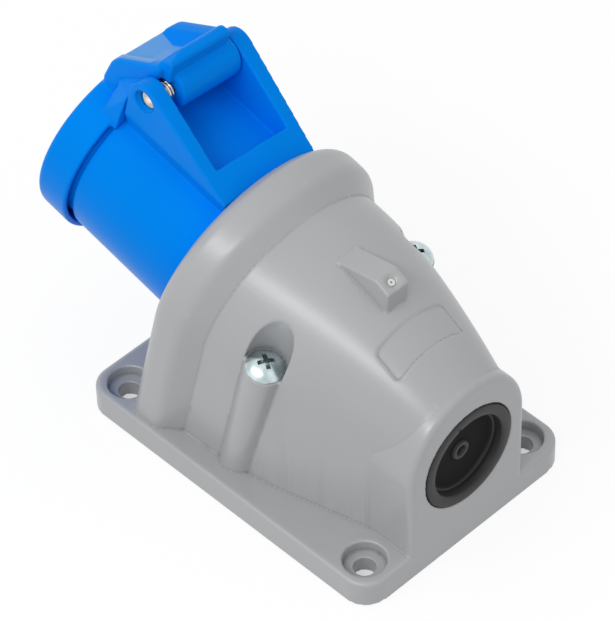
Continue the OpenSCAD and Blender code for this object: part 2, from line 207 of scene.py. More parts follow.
def turned(name, place, profile, steps):  # profile of [radius, height], turned round Z
    bm = bmesh.new()
    chain = [bm.verts.new((radius, 0, height)) for radius, height in profile]
    edges = [bm.edges.new(pair) for pair in zip(chain, chain[1:])]
    bmesh.ops.spin(
        bm, geom=chain + edges, cent=(0, 0, 0), axis=(0, 0, 1), angle=math.tau, steps=steps, use_merge=True
    )
    return asObject(bm, name, place)


def arc(centreX, centreY, radius, start, end, count):
    spots = [math.radians(start + (end - start) * i / count) for i in range(count + 1)]
    return [(centreX + radius * math.cos(a), centreY + radius * math.sin(a)) for a in spots]


def flowing(table, at):  # smooth curve through a short table of [place, value]
    spots = [p for p, v in table]
    values = [v for p, v in table]
    i = max(k for k in range(len(spots) - 1) if k == 0 or spots[k] <= at)

    def slope(k):
        a, b = max(k - 1, 0), min(k + 1, len(spots) - 1)
        return (values[b] - values[a]) / (spots[b] - spots[a])

    run = spots[i + 1] - spots[i]
    t = (at - spots[i]) / run
    return (
        (2 * t**3 - 3 * t**2 + 1) * values[i] + (t**3 - 2 * t**2 + t) * run * slope(i)
        + (3 * t**2 - 2 * t**3) * values[i + 1] + (t**3 - t**2) * run * slope(i + 1)
    )


def feed(tree, target, source):  # a socket is linked, a plain value is set
    if isinstance(source, bpy.types.NodeSocket):
        tree.links.new(source, target)
    else:
        target.default_value = source


def mathOf(tree, operation, *sources):
    node = tree.nodes.new("ShaderNodeMath")
    node.operation = operation
    for target, source in zip(node.inputs, sources):
        feed(tree, target, source)
    return node.outputs[0]


def rangeOf(tree, source, low, high, first, last):  # low…high becomes first…last
    node = tree.nodes.new("ShaderNodeMapRange")
    for target, value in zip(node.inputs, (source, low, high, first, last)):
        feed(tree, target, value)
    return node.outputs[0]


def colourMix(tree, amount, first, second):
    node = tree.nodes.new("ShaderNodeMix")
    node.data_type = "RGBA"
    for place, source in ((0, amount), (6, first), (7, second)):  # the node's sockets for colours
        feed(tree, node.inputs[place], source)
    return node.outputs[2]


def shaderMix(tree, amount, first, second):
    node = tree.nodes.new("ShaderNodeMixShader")
    for target, source in zip(node.inputs, (amount, first, second)):
        feed(tree, target, source)
    return node.outputs[0]


def noiseOf(tree, place, scale, detail):
    node = tree.nodes.new("ShaderNodeTexNoise")
    node.inputs["Scale"].default_value = scale
    node.inputs["Detail"].default_value = detail
    tree.links.new(place.outputs["Object"], node.inputs["Vector"])
    return node.outputs["Fac"]


# materials: each reads Object coordinates and carries its own fine grain
surface = {
    "ramp": (0.35, 0.65), "gloss": (0.3, 0.7), "edges": (0.515, 0.6), "edgeWhite": 0.35,
    "creases": (0.45, 0.497), "creaseShade": 0.4, "creaseMatt": 0.7, "bumpDepth": 0.00004,
}


def finish(name, colour, roughness, spread, grain, bump, metallic=0.0, specular=0.5, tint=0.05, wear=0.1,
           sheen=(1, 1, 1), mottle=28, creaseShadeAndMatt=0.9):
    material = bpy.data.materials.new(name)
    material.use_nodes = True
    tree = material.node_tree
    shader = tree.nodes["Principled BSDF"]
    shader.inputs["Metallic"].default_value = metallic
    shader.inputs["Specular IOR Level"].default_value = specular
    shader.inputs["Specular Tint"].default_value = (*sheen, 1)
    place = tree.nodes.new("ShaderNodeTexCoord")
    fine = noiseOf(tree, place, grain, 3)
    broad = noiseOf(tree, place, mottle, 4)
    shade = tree.nodes.new("ShaderNodeValToRGB")
    for element, position, change in zip(shade.color_ramp.elements, surface["ramp"], (1 - tint, 1 + tint)):
        element.position = position
        element.color = (*[min(1, c * change) for c in colour], 1)
    tree.links.new(broad, shade.inputs["Fac"])
    pointiness = tree.nodes.new("ShaderNodeNewGeometry").outputs["Pointiness"]
    # outer edges are rubbed a little paler; creases get painted shade, a darker colour, and a rougher surface as well
    rubbed = rangeOf(tree, pointiness, *surface["edges"], 0, wear)
    white = surface["edgeWhite"]
    worn = colourMix(tree, rubbed, shade.outputs["Color"], (*[white + (1 - white) * c for c in colour], 1))
    # painted shade: the crease mask darkens the colour towards creaseShade and raises the roughness
    hollow = rangeOf(tree, pointiness, *surface["creases"], creaseShadeAndMatt, 0)
    creaseShaded = colourMix(tree, hollow, worn, (*[surface["creaseShade"] * c for c in colour], 1))
    tree.links.new(creaseShaded, shader.inputs["Base Color"])
    gloss = rangeOf(tree, broad, *surface["gloss"], roughness - spread, roughness + spread)
    matt = mathOf(tree, "MULTIPLY_ADD", hollow, surface["creaseMatt"], gloss)
    matt.node.use_clamp = True
    tree.links.new(matt, shader.inputs["Roughness"])
    relief = tree.nodes.new("ShaderNodeBump")
    relief.inputs["Strength"].default_value = bump
    relief.inputs["Distance"].default_value = surface["bumpDepth"]
    tree.links.new(fine, relief.inputs["Height"])
    tree.links.new(relief.outputs["Normal"], shader.inputs["Normal"])
    return material


finishes = {
    "grey_moulding": finish(
        "greyMoulding", (0.415, 0.424, 0.437), roughness=0.32, spread=0.03, grain=2600, bump=0.15,
        specular=0.95, tint=0.02,
    ),
    "blue_moulding": finish(
        "blueMoulding", (0.0004, 0.255, 0.91), roughness=0.32, spread=0.04, grain=2200, bump=0.15,
        # the blue gets no painted crease shade and no crease roughness
        specular=0.07, tint=0.03, wear=0.02, sheen=(0.02, 0.3, 1), creaseShadeAndMatt=0,
    ),
    "black_rubber": finish(
        "blackRubber", (0.018, 0.018, 0.018), roughness=0.55, spread=0.08, grain=1800, bump=0.5, specular=0.4,
    ),
    "bright_steel": finish(
        "brightSteel", (0.72, 0.66, 0.54), roughness=0.18, spread=0.06, grain=3000, bump=0.15,
        metallic=1, tint=0.38, mottle=420,
    ),
    "zinc_steel": finish(
        "zincSteel", (0.58, 0.68, 0.70), roughness=0.26, spread=0.08, grain=2600, bump=0.3,
        metallic=1, tint=0.2, mottle=300,
    ),
    "contact_brass": finish(
        "contactBrass", (0.72, 0.52, 0.22), roughness=0.28, spread=0.06, grain=2400, bump=0.2, metallic=1,
    ),
    "dark_insulator": finish(
        "darkInsulator", (0.022, 0.022, 0.024), roughness=0.5, spread=0.06, grain=2200, bump=0.4,
    ),
    "pale_insulator": finish(
        "paleInsulator", (0.78, 0.78, 0.75), roughness=0.4, spread=0.05, grain=2200, bump=0.25,
    ),
}
slotOf = {s["node"]: s["material_slot"] for s in frame["record"]["subparts"]}
for name, node in frame["nodes"].items():
    node.data.materials.clear()
    node.data.materials.append(finishes[slotOf[name]])
print("finishes made")

# housing: flange, collar, dome and cable entry block in one grey moulding
housing = {
    "flange": (102.7, 73.1, 7.8), "corner": 7, "flangeEdge": 1.1, "wall": 2.8, "skin": 3.2,
    "holes": (43, 28.5), "holeRadius": 2.9, "counterbore": 5.7, "counterboreDepth": 3,
    "padRadius": 8.6, "padTop": 7, "ribs": (-28, 0, 28), "ribHalf": 1,
    "collarRadius": 34.7, "collarBand": 10, "coneEnd": 15.3, "coneRadius": 30.45, "coneTuck": (2, 0.4),
    "shoulder": 5, "collarEdge": 4.4, "seatRadius": 30.6, "seatDepth": 4,
    "ring": (-6, -1.5), "ringInset": 1.7, "ledgeRadius": 27.2, "innerRadius": 27, "innerEnds": (-17, -2.8),
    "bodyRadius": 30.2, "domeEnd": 45.5, "domeTop": 55.7, "domeBow": 0.3, "domeStart": -0.06, "domeSpan": 1.14,
    "domeSteps": 44, "uprightBy": 0.3,
    "widths": [(0, 30.2), (0.07, 29.9), (0.14, 29.3), (0.21, 28.4), (0.29, 27.4), (0.45, 25.45),
               (0.61, 23.3), (0.81, 20.6), (1, 18), (1.1, 16.6)],
    "entryHalf": 20.4, "entryTop": 53.2, "entryX": 51.35, "entryZ": 29.8, "entryEdge": 2, "entryWall": 3,
    "entryStart": 28, "entryStraight": 6, "glandRadius": 13.5, "lipRadius": 15.3, "lipDepth": 1.5,
    "screwS": -32.4, "screwY": 26.4, "screwSeat": 8.3, "screwBore": 2.3,
    "columnRadius": 5.3, "columnWall": 1.4, "columnRise": 0.6, "columnFoot": -60,
    "pocketRadius": 5.7, "pocketWall": 1.6, "pocketFloor": 3.6,
    "panel": {"low": 30.4, "high": 38.8, "half": 12, "corner": 1.6, "depth": 0.5},
}
tiltCos, tiltSin = math.cos(math.radians(placing["tilt"])), math.sin(math.radians(placing["tilt"]))
domeX = placing["collarX"] + housing["coneEnd"] * tiltCos + housing["bodyRadius"] * tiltSin
domeZ = placing["collarZ"] - housing["coneEnd"] * tiltSin + housing["bodyRadius"] * tiltCos


def archAt(x, z, tilt, half):  # place of a round-topped section, its arc centred on x and z
    return shift(x, 0, z) @ rotation(tilt - 90, "Y") @ Matrix.Scale(half, 4)


def archLoft(name, places, steps=64):
    bm = bmesh.new()
    start = bm.verts.new((0, 1, 0))
    bmesh.ops.spin(bm, geom=[start], cent=(0, 0, 0), axis=(0, 0, -1), angle=math.pi, steps=steps)
    ends = sorted((v for v in bm.verts if len(v.link_edges) == 1), key=lambda v: v.co.y)
    feet = bmesh.ops.extrude_vert_indiv(bm, verts=ends)["verts"]
    for foot in feet:
        foot.co.x -= 4  # the sides run down past the wall face and are trimmed there
    bm.edges.new(feet)
    ring = bm.edges[:]
    bmesh.ops.transform(bm, matrix=places[0], verts=bm.verts)
    bmesh.ops.edgeloop_fill(bm, edges=ring)
    for before, after in zip(places, places[1:]):
        grown = bmesh.ops.extrude_edge_only(bm, edges=ring)["geom"]
        ring = [g for g in grown if isinstance(g, bmesh.types.BMEdge)]
        moved = [g for g in grown if isinstance(g, bmesh.types.BMVert)]
        bmesh.ops.transform(bm, matrix=after @ before.inverted(), verts=moved)
    bmesh.ops.edgeloop_fill(bm, edges=ring)
    return asObject(bm, name)


def domeSolid(inset):
    h = housing
    places = []
    for i in range(h["domeSteps"] + 1):
        u = h["domeStart"] + h["domeSpan"] * i / h["domeSteps"]
        half = flowing(h["widths"], max(u, 0)) - inset
        tilt = placing["tilt"] * max(0.0, 1 - max(u, 0) / h["uprightBy"]) ** 2
        crown = domeZ - (domeZ - h["domeTop"]) * (h["domeBow"] * u + (1 - h["domeBow"]) * u * u)
        x = domeX + (h["domeEnd"] - domeX) * u
        up = Vector((math.sin(math.radians(tilt)), 0, math.cos(math.radians(tilt))))
        centre = Vector((x, 0, crown)) - up * (half + inset)
        places.append(archAt(centre.x, centre.z, tilt, half))
    return archLoft("dome", places)


def entrySolid(inset):
    h = housing
    half, top = h["entryHalf"] - inset, h["entryTop"] - inset
    end = h["entryX"] - (h["entryWall"] if inset else 0)
    edge = 0.01 if inset else h["entryEdge"]  # the inside has a square end
    stations = [(h["entryStart"], half), (end - h["entryStraight"], half)]
    stations += [(x, half + r) for x, r in arc(end - edge, -edge, edge, 90, 0, 6)]
    return archLoft("entry", [archAt(x, top - h["entryHalf"] + inset, 0, r) for x, r in stations])


def collarSolid(grow=0.0):
    h = housing
    radius, cone, shoulder, edge = h["collarRadius"], h["coneRadius"], h["shoulder"], h["collarEdge"]
    turn = math.degrees(math.atan((radius - cone) / (h["coneEnd"] - h["collarBand"])))
    middle = -h["collarBand"] + shoulder * math.tan(math.radians(turn / 2))
    tuckIn, tuckBack = h["coneTuck"]
    stations = [(cone - tuckIn, -h["coneEnd"] - tuckBack), (cone, -h["coneEnd"])]
    stations += arc(radius - shoulder, middle, shoulder, -turn, 0, 8)
    stations += arc(radius - edge, -edge, edge, 0, 90, 6)
    return archLoft("collar", [axisFrame @ shift(0, 0, s) @ Matrix.Scale(r + grow, 4) for r, s in stations], 96)


def plate(length, width, corner, low, high, edge=0):
    bm = bmesh.new()
    size = Matrix.Diagonal((length, width, high - low, 1))
    bmesh.ops.create_cube(bm, size=1, matrix=shift(0, 0, (low + high) / 2) @ size)
    rounded(bm, upright(bm), corner, 14)
    if edge:
        top = max(bm.faces, key=lambda f: f.calc_center_median().z)
        rounded(bm, list(top.edges), edge, 5)
    return asObject(bm, "plate")


def atScrew(side):  # Z of this place stands square to the socket axis
    return axisFrame @ shift(0, side * housing["screwY"], housing["screwS"]) @ rotation(90, "Y")


drain = {
    "at": (25.15, 0, 73.05), "tilt": 28, "half": 3.7, "edge": 0.35,
    "ramp": [(5.5, 69.5), (6, 70.88), (23, 74.2), (27.3, 71.9), (26.4, 63), (20, 60)],
    "dimple": 2.35, "hole": 1.05, "deep": 0.75, "over": 0.6,
}
drainFrame = shift(*drain["at"]) @ rotation(drain["tilt"], "Y")


def makeHousing():
    h = housing
    length, width, height = h["flange"]
    wall, seat, foot = h["wall"], h["screwSeat"], h["columnFoot"]
    screws = [atScrew(side) for side in sides]
    x, y = h["holes"]
    corners = [shift(a * x, b * y, 0) for a in sides for b in sides]
    body = plate(length, width, h["corner"], 0, height, h["flangeEdge"])
    columns = [rod("column", at, h["columnRadius"], foot, seat + h["columnRise"]) for at in screws]
    ramp = outlined("ramp", None, drain["ramp"], drain["half"], drain["edge"], 2)
    join(body, domeSolid(0), entrySolid(0), collarSolid(), *columns, ramp)

    # open back: the hollow under the dome, collar and entry block
    ends = [axisFrame @ shift(0, 0, s) @ Matrix.Scale(h["innerRadius"], 4) for s in h["innerEnds"]]
    inner = archLoft("inner", ends, 96)
    cut(body, domeSolid(wall), entrySolid(wall), inner)
    roomTop = seat - h["pocketFloor"]
    rooms = [rod("room", at, h["columnRadius"] - h["columnWall"], foot, roomTop) for at in screws]
    hollow = plate(length - 2 * wall, width - 2 * wall, h["corner"] - wall, -1, height - h["skin"])
    keep = [rod("keep", at, h["columnRadius"] + h["columnWall"], foot, 0) for at in screws]
    keep += [rod("keep", at, h["padRadius"], -2, h["padTop"]) for at in corners]
    keep += [block("keep", None, (a - h["ribHalf"], -60, -2), (a + h["ribHalf"], 60, h["padTop"])) for a in h["ribs"]]
    cut(hollow, domeSolid(0), entrySolid(0), collarSolid(1), *keep)
    cut(body, hollow, *rooms)

    # ring that carries the socket, and the walls round the two screw pockets
    ring = rod("ring", axisFrame, h["collarRadius"] - h["ringInset"], *h["ring"], steps=96)
    cut(ring, rod("bore", axisFrame, h["ledgeRadius"], -10, 5, steps=96))
    bosses, other = [rod("boss", at, h["pocketRadius"] + h["pocketWall"], roomTop, 60) for at in screws]
    join(bosses, other)
    combine(bosses, [domeSolid(0.1)], "INTERSECT")
    join(body, ring, bosses)
    cut(body, rod("seat", axisFrame, h["seatRadius"], -h["seatDepth"], 20, steps=96))
    for at in screws:
        cut(body, rod("pocket", at, h["pocketRadius"], seat, 70), rod("bore", at, h["screwBore"], seat - 6, seat + 6))
    for at in corners:
        sink = rod("sink", at, h["counterbore"], height - h["counterboreDepth"], height + 2)
        cut(body, rod("hole", at, h["holeRadius"], -2, height + 2), sink)
    entry = shift(h["entryX"], 0, h["entryZ"]) @ rotation(90, "Y")
    lip = rod("gland", entry, h["lipRadius"], -h["lipDepth"], 4, steps=96)
    cut(body, rod("gland", entry, h["glandRadius"], -12, 8, steps=96), lip)
    hole, deep, over = drain["hole"], drain["deep"], drain["over"]
    mouth = drain["dimple"] + (drain["dimple"] - hole) * over / deep
    dimple = rod("dimple", drainFrame, hole, -deep, over, steps=48, endRadius=mouth)
    cut(body, rod("drain", drainFrame, hole, -20, 5, steps=32), dimple)

    # shallow bare panel on the crown
    panel = h["panel"]
    sunk = block("panel", None, (panel["low"], -panel["half"], 40), (panel["high"], panel["half"], 80))
    bm = bmesh.new()
    bm.from_mesh(sunk.data)
    rounded(bm, upright(bm), panel["corner"], 5)
    bm.to_mesh(sunk.data)
    bm.free()
    cut(sunk, domeSolid(panel["depth"]))
    cut(body, sunk, block("under", None, (-90, -60, -90), (90, 60, 0)))
    body.name = "housingBody"
    softened(body, 0.34, 3, 195000)
    finished(body, "base", "grey_moulding", "housing")


makeHousing()

# socket shell: barrel with the plug well, and the hinge bracket
shell = {
    "barrel": 25.1, "spigot": 24.1, "step": 38.6, "front": 44.4, "lip": 0.7, "corner": 0.5,
    "well": 21.6, "wellFloor": 6.15, "wellStep": 1, "wellBack": 3,
    "tail": 20.6, "tailBore": 18.6, "tailEnd": -27, "disc": 30.3, "discDepth": 2.5, "discEdge": (0.9, 1.2),
    "pinS": 31.6, "pinH": 36.7, "pinHole": 2, "eye": 5.3, "slope": 25.6, "footS": 0.2, "rootH": 8,
    "earInner": 12.5, "earOuter": 17.3,
    "earSides": [(42, 17.3, 0.085), (27, 16.02, 0.445)],  # height, half width there, and lean
    "web": 8, "slotFloor": 25.4, "recess": 3.2, "recessDepth": 2.2, "bracketRoot": 1.5,
    "keyHalf": 3, "keyDepth": 1.8, "keyEnd": 14,
    "leg": {"height": (-3.9, 4.3), "span": (17, 22.8), "below": 3.2, "top": -21, "arm": (20, 26.4), "armHalf": 2.4,
            "post": 3.5, "insert": 2.7},
}
pinPlace = socketFrame @ shift(shell["pinH"], 0, shell["pinS"])


def bracketSolid():
    s = shell
    pinS, pinH, eye = s["pinS"], s["pinH"], s["eye"]
    slope = math.radians(s["slope"])
    foot = pinH + eye / math.cos(slope) - (pinS - s["footS"]) * math.tan(slope)
    side = [(s["rootH"], s["footS"]), (foot, s["footS"])]
    side += [(h, a) for a, h in arc(pinS, pinH, eye, 90 + s["slope"], 0, 14)] + [(s["rootH"], pinS + eye)]
    bm = bmesh.new()
    outlineSolid(bm, side, -s["earOuter"], s["earOuter"])
    for way in sides:
        for height, out, lean in s["earSides"]:  # the ears lean in a little, and more so down by the barrel
            bmesh.ops.bisect_plane(
                bm, geom=bm.verts[:] + bm.edges[:] + bm.faces[:], plane_co=(height, way * out, 0),
                plane_no=Vector((-lean, way, 0)).normalized(), clear_outer=True,
            )
            bmesh.ops.holes_fill(bm, edges=[e for e in bm.edges if e.is_boundary])
    bracket = asObject(bm, "bracket", socketFrame)
    slot = block("slot", socketFrame, (s["slotFloor"], -s["earInner"], s["web"]), (70, s["earInner"], 60))
    across = pinPlace @ rotation(90, "X")
    deep = s["recessDepth"]
    recesses = [
        rod("recess", across, s["recess"], way * s["earOuter"] - deep, way * s["earOuter"] + deep) for way in sides
    ]
    cut(bracket, slot, rod("pinHole", across, s["pinHole"], -40, 40), *recesses)
    cut(bracket, rod("inside", socketFrame, s["barrel"] - s["bracketRoot"], -10, 60, steps=96))
    return bracket


def makeShell():
    s = shell
    barrel, step, well, front = s["barrel"], s["step"], s["well"], s["front"]
    lip, corner, tail, bore = s["lip"], s["corner"], s["tail"], s["tailBore"]
    disc, back, (edgeIn, edgeBack) = s["disc"], -s["discDepth"], s["discEdge"]
    profile = [(bore, s["tailEnd"]), (tail, s["tailEnd"]), (tail, back), (disc, back), (disc, -edgeBack)]
    profile += [(disc - edgeIn, 0), (barrel + corner, 0), (barrel, corner), (barrel, step - corner)]
    profile += [(barrel - corner, step), (s["spigot"], step)]
    profile += arc(s["spigot"] - lip, front - lip, lip, 0, 90, 4) + arc(well + lip, front - lip, lip, 90, 180, 4)
    ledge = well - s["wellStep"]
    profile += [(well, s["wellFloor"]), (ledge, s["wellFloor"]), (ledge, s["wellBack"]), (bore, s["wellBack"])]
    body = turned("barrel", socketFrame, profile + [profile[0]], 160)
    join(body, bracketSolid())
    half = s["keyHalf"]
    cut(body, block("keyway", socketFrame, (-well - s["keyDepth"], -half, s["keyEnd"]), (-well + 6, half, 60)))
    g = s["leg"]
    low, high = g["height"]
    at = housing["screwS"]
    for way in sides:  # legs that carry the threaded inserts
        near, far = sorted(way * y for y in g["span"])
        leg = block("leg", axisFrame, (low, near, at - g["below"]), (high, far, g["top"]))
        near, far = sorted(way * y for y in g["arm"])
        arm = block("arm", axisFrame, (low, near, at - g["armHalf"]), (high, far, at + g["armHalf"]))
        join(leg, arm, rod("post", atScrew(way), g["post"], low, high))
        cut(leg, rod("tailBore", socketFrame, bore, -40, 0, steps=96))
        join(body, leg)
        cut(body, rod("insertHole", atScrew(way), g["insert"], -10, 10))
    body.name = "shellBody"
    softened(body, 0.27, 9, 185000)
    finished(body, "base", "blue_moulding", "socket_shell")


makeShell()

# lid: cap with a rim, a ribbed neck with a cross fin, and the hinge knuckle
lid = {
    "radius": 27, "front": 49.7, "rear": 39.3, "bore": 25.4, "wall": 3.6, "edge": 1.6, "mouth": 0.4, "rim": 0.5,
    "neck": [(48.4, 22), (49.2, 26.6), (48.2, 32.8), (46.8, 34.9), (35.4, 43.6), (34.8, 45.7), (34.2, 46.5),
             (33.4, 46.9), (31.5, 46.9), (30.9, 46.3), (30.6, 40), (31.2, 36.7), (34.6, 37.6), (43.4, 30.4),
             (44, 22)],
    "rib": [(48.4, 22), (49.2, 26.6), (48.2, 32.8), (46.8, 34.9), (33.9, 44.8), (32.8, 43.4), (33.4, 39.4),
            (34.6, 38.6), (43.4, 30.4), (44, 22)],
    "ribEdge": 0.9, "half": 11.9, "ribLine": ((47.4, 32.3), (34.3, 42.5)),
    "finHalf": 10.2, "finRamp": (3.1, -5, 12), "finStart": 15.5,
    "troughs": [  # side view, then the half width at a height over the rib line and its growth per millimetre up
        ([(52, 31), (47, 32.3), (42.7, 33.4), (39.8, 35.6), (37.2, 39.6), (35.6, 43.6), (34.5, 46.4), (34, 48.6),
          (55.8, 40.3)], 0, 6.9, 0.75),
        ([(52.8, 29.5), (35.8, 42.75), (35.5, 43.7), (34.5, 46.4), (34, 48.6), (55.8, 40.3)], 1.1, 7.5, 3.8),
    ],
    "knuckle": 5.8, "knuckleEdge": 0.7, "knuckleNear": -8.4, "knuckleFar": 12.1,
    "pinHole": 2.05, "springRoom": 3.75, "barrelGap": 0.6,
    "gussets": [  # place along the axis, then the outline there
        (37.6, [(18, 11), (18, 16.6), (22.4, 16.6), (31.4, 15.8), (35.6, 12.6), (35.6, 11)]),
        (43.5, [(18, 11), (18, 16.6), (21, 16.6), (24, 12), (30.2, 11.6), (30.2, 11)]),
    ],
    "paleFloor": (0.15, 0.41, 0.84), "paleSlant": 0.75,
    "paleLimits": [  # what is measured in the scoop's frame, and the limits from which it fades
        ("slant", 6.2, 6.6, 1, 0), ("Y", -10.7, -10.3, 0, 1), ("Z", 13.6, 14.4, 1, 0),
        ("X", -1.9, -1.6, 0, 1), ("X", 2.6, 3.0, 1, 0),
    ],
}


def swapped(points):  # [along the axis, up] to the socket frame's X and Z
    return [(h, s) for s, h in points]


def paleScoop(material, place):  # the floor of the lid's scoop is paler
    material = material.copy()
    tree = material.node_tree
    spot = tree.nodes.new("ShaderNodeMapping")
    spot.inputs["Location"].default_value = place.to_translation()
    spot.inputs["Rotation"].default_value = place.to_euler()
    spot.inputs["Scale"].default_value = (1 / millimetre,) * 3
    tree.links.new(tree.nodes["Texture Coordinate"].outputs["Object"], spot.inputs["Vector"])
    split = tree.nodes.new("ShaderNodeSeparateXYZ")
    tree.links.new(spot.outputs[0], split.inputs[0])
    measured = {axis: split.outputs[axis] for axis in "XYZ"}
    measured["slant"] = mathOf(tree, "MULTIPLY_ADD", split.outputs["X"], lid["paleSlant"], split.outputs["Y"])
    amount = 1
    for what, *limits in lid["paleLimits"]:
        amount = mathOf(tree, "MULTIPLY", amount, rangeOf(tree, measured[what], *limits))
    base = tree.nodes["Principled BSDF"].inputs["Base Color"]
    tree.links.new(colourMix(tree, amount, base.links[0].from_socket, (*lid["paleFloor"], 1)), base)
    return material


def makeLid():
    t = lid
    front, rear, bore, edge, mouth, rim = (t[k] for k in ("front", "rear", "bore", "edge", "mouth", "rim"))
    ceiling = front - t["wall"]
    profile = [(0, ceiling), (bore, ceiling), (bore, rear + mouth), (bore + mouth, rear)]
    profile += arc(t["radius"] - rim, rear + rim, rim, -90, 0, 3)
    profile += arc(t["radius"] - edge, front - edge, edge, 0, 90, 7) + [(0, front)]
    body = turned("cap", socketFrame, profile, 160)
    neck = outlined("neck", socketFrame, swapped(t["neck"]), t["finHalf"])
    join(neck, outlined("ribs", socketFrame, swapped(t["rib"]), t["half"], t["ribEdge"], 4))
    (s0, h0), (s1, h1) = t["ribLine"]
    reach = math.hypot(s1 - s0, h1 - h0)
    for points, level, half, growth in t["troughs"]:  # scoop between the ribs, closed at the back by the fin
        bm = bmesh.new()
        outlineSolid(bm, swapped(points), -1, 1)
        for vert in bm.verts:
            lift = ((vert.co.x - h0) * (s0 - s1) + (vert.co.z - s0) * (h1 - h0)) / reach
            vert.co.y *= half + growth * (lift - level)
        cut(neck, asObject(bm, "trough", socketFrame))
    along = socketFrame @ shift(h0, 0, s0) @ Matrix.Rotation(math.atan2(h1 - h0, s1 - s0), 4, "Y")
    lift, start, lean = t["finRamp"]  # the fin falls away towards the spring
    ramp = along @ shift(-lift, start, 0) @ rotation(lean, "Z")
    cut(neck, block("ramp", ramp, (-10, -20, t["finStart"]), (0, 0, 30)))
    across = pinPlace @ rotation(-90, "X")
    near = t["knuckleNear"]
    join(neck, rod("knuckle", across, t["knuckle"], near, t["knuckleFar"], t["knuckleEdge"]))
    for way in sides:  # gussets beside the neck
        bm = bmesh.new()
        for s, outline in t["gussets"]:
            for h, y in outline:
                bm.verts.new((h, way * y, s))
        bmesh.ops.convex_hull(bm, input=bm.verts[:])
        join(neck, asObject(bm, "gusset", socketFrame))
    cut(
        neck, rod("room", socketFrame, bore, -1, ceiling, steps=96),
        rod("room", socketFrame, shell["barrel"] + t["barrelGap"], -1, rear, steps=96),
        rod("springRoom", across, t["springRoom"], near - 20, near),
    )
    join(body, neck)
    cut(body, rod("pinHole", across, t["pinHole"], -50, 50))
    body.name = "lidBody"
    softened(body, 0.3, 5, 150000)
    finished(body, "lid_body", "blue_moulding", "lid")
    body.data.materials[0] = paleScoop(body.data.materials[0], along.inverted())


makeLid()

# cable grommet: stepped black membrane with a raised ring round its small hole
grommet = {
    "at": (51.35, 0, 29.8), "notchTurn": 196, "notchAt": 12.3, "notchRadius": 0.55,
    "profile": [(1.4, -4.8), (1.4, -2.9), (1.7, -2.5), (2.5, -2.5), (2.8, -2.8), (3.1, -3.4), (10.3, -3.4),
                (10.8, -3.1), (11.0, -2.4), (11.3, -2.2), (11.6, -2.1), (11.8, -1.6), (11.9, -0.2), (12.1, 0.1),
                (12.5, 0.3), (14.4, 0.3), (14.8, 0.2), (15.05, -0.2), (15.1, -0.6), (15.1, -1.4), (13.4, -1.5),
                (13.4, -3.1), (15.1, -3.2), (14.3, -6.2), (11, -6.2), (10, -4.8)],
}


def makeGrommet():
    place = shift(*grommet["at"]) @ rotation(90, "Y")
    body = turned("grommetBody", place, grommet["profile"] + grommet["profile"][:1], 144)
    notch = place @ rotation(grommet["notchTurn"], "Z") @ shift(grommet["notchAt"], 0, 0)
    cut(body, rod("notch", notch, grommet["notchRadius"], -0.5, 2, steps=24))
    finished(body, "base", "black_rubber", "cable_grommet", 38)


makeGrommet()

# hinge pin with a domed head in each ear
pin = {
    "radius": 2, "head": 2.9, "headEdge": 0.1, "rim": 15.15, "dome": 0.7,
    "crown": [(0, 0), (0.9, 0.06), (1.6, 0.2), (2.3, 0.42)],  # radius, and drop from the top of the dome
}


def makePin():
    p = pin
    rim, top, edge = p["rim"], p["rim"] + p["dome"], p["headEdge"]
    head = [(r, -top + drop) for r, drop in p["crown"]] + [(p["head"], -rim - edge), (p["head"] - edge, -rim)]
    profile = head + [(p["radius"], -rim), (p["radius"], rim)] + [(r, -z) for r, z in reversed(head)]
    body = turned("pinBody", pinPlace @ rotation(90, "X"), profile, 64)
    finished(body, "base", "bright_steel", "hinge_pin", 35)


makePin()

# lid spring: close coil of wire beside the knuckle, its leg resting on the slot floor
spring = {"wire": 0.42, "radius": 2.75, "near": -12.3, "far": -8.6, "turns": 3, "leg": 8.1, "round": 14, "perTurn": 40}


def makeSpring():
    p = spring
    wire, steps = p["wire"], p["perTurn"] * p["turns"]
    start = shift(-p["radius"], p["near"] + wire, 0)
    bm = bmesh.new()
    run = p["far"] - p["near"] - 2 * wire
    bmesh.ops.create_circle(bm, cap_ends=False, segments=p["round"], radius=wire, matrix=start)
    bmesh.ops.spin(
        bm, geom=bm.verts[:] + bm.edges[:], cent=(0, 0, 0), axis=(0, 1, 0), angle=math.tau * p["turns"],
        steps=steps, dvec=(0, run / steps, 0),
    )
    bmesh.ops.holes_fill(bm, edges=[e for e in bm.edges if e.is_boundary])
    body = asObject(bm, "springBody", pinPlace)
    down = pinPlace @ start @ rotation(-90, "Y")
    join(body, rod("leg", down, wire - 0.05, 0, p["leg"], 0.2, p["round"]))  # thinner, so that it starts inside
    finished(body, "base", "bright_steel", "lid_spring", 60)


makeSpring()

# fixing screws: pan heads with a cross recess, deep in the two pockets
screw = {
    "head": 5, "edge": 0.3, "crown": 6.1, "centre": -2.9, "arm": 4.5, "slot": 1.15, "floor": 1.3, "turn": 63,
    "shank": 1.95, "end": -13.5, "point": (0.4, 0.6),
}


def makeScrew(name, side):
    p = screw
    place = atScrew(side) @ shift(0, 0, housing["screwSeat"])
    low = math.degrees(math.acos(p["head"] / p["crown"]))
    pointIn, pointUp = p["point"]
    profile = [(0, p["end"]), (p["shank"] - pointIn, p["end"]), (p["shank"], p["end"] + pointUp), (p["shank"], 0)]
    profile += [(p["head"] - p["edge"], 0), (p["head"], p["edge"])]
    profile += arc(0, p["centre"], p["crown"], low, 90, 10)
    profile[-1] = (0, profile[-1][1])  # the top point lies on the axis
    body = turned("screwBody", place, profile, 72)
    arm, slot = p["arm"] / 2, p["slot"] / 2
    for quarter in (0, 90):
        turn = place @ rotation(p["turn"], "Z") @ rotation(quarter, "Z")
        cut(body, block("recess", turn, (-arm, -slot, p["floor"]), (arm, slot, 6)))
    body.name = "screwBody" + name
    finished(body, "base", "zinc_steel", "fixing_screw_" + name, 30)


for name, side in zip(("left", "right"), sides):
    makeScrew(name, side)

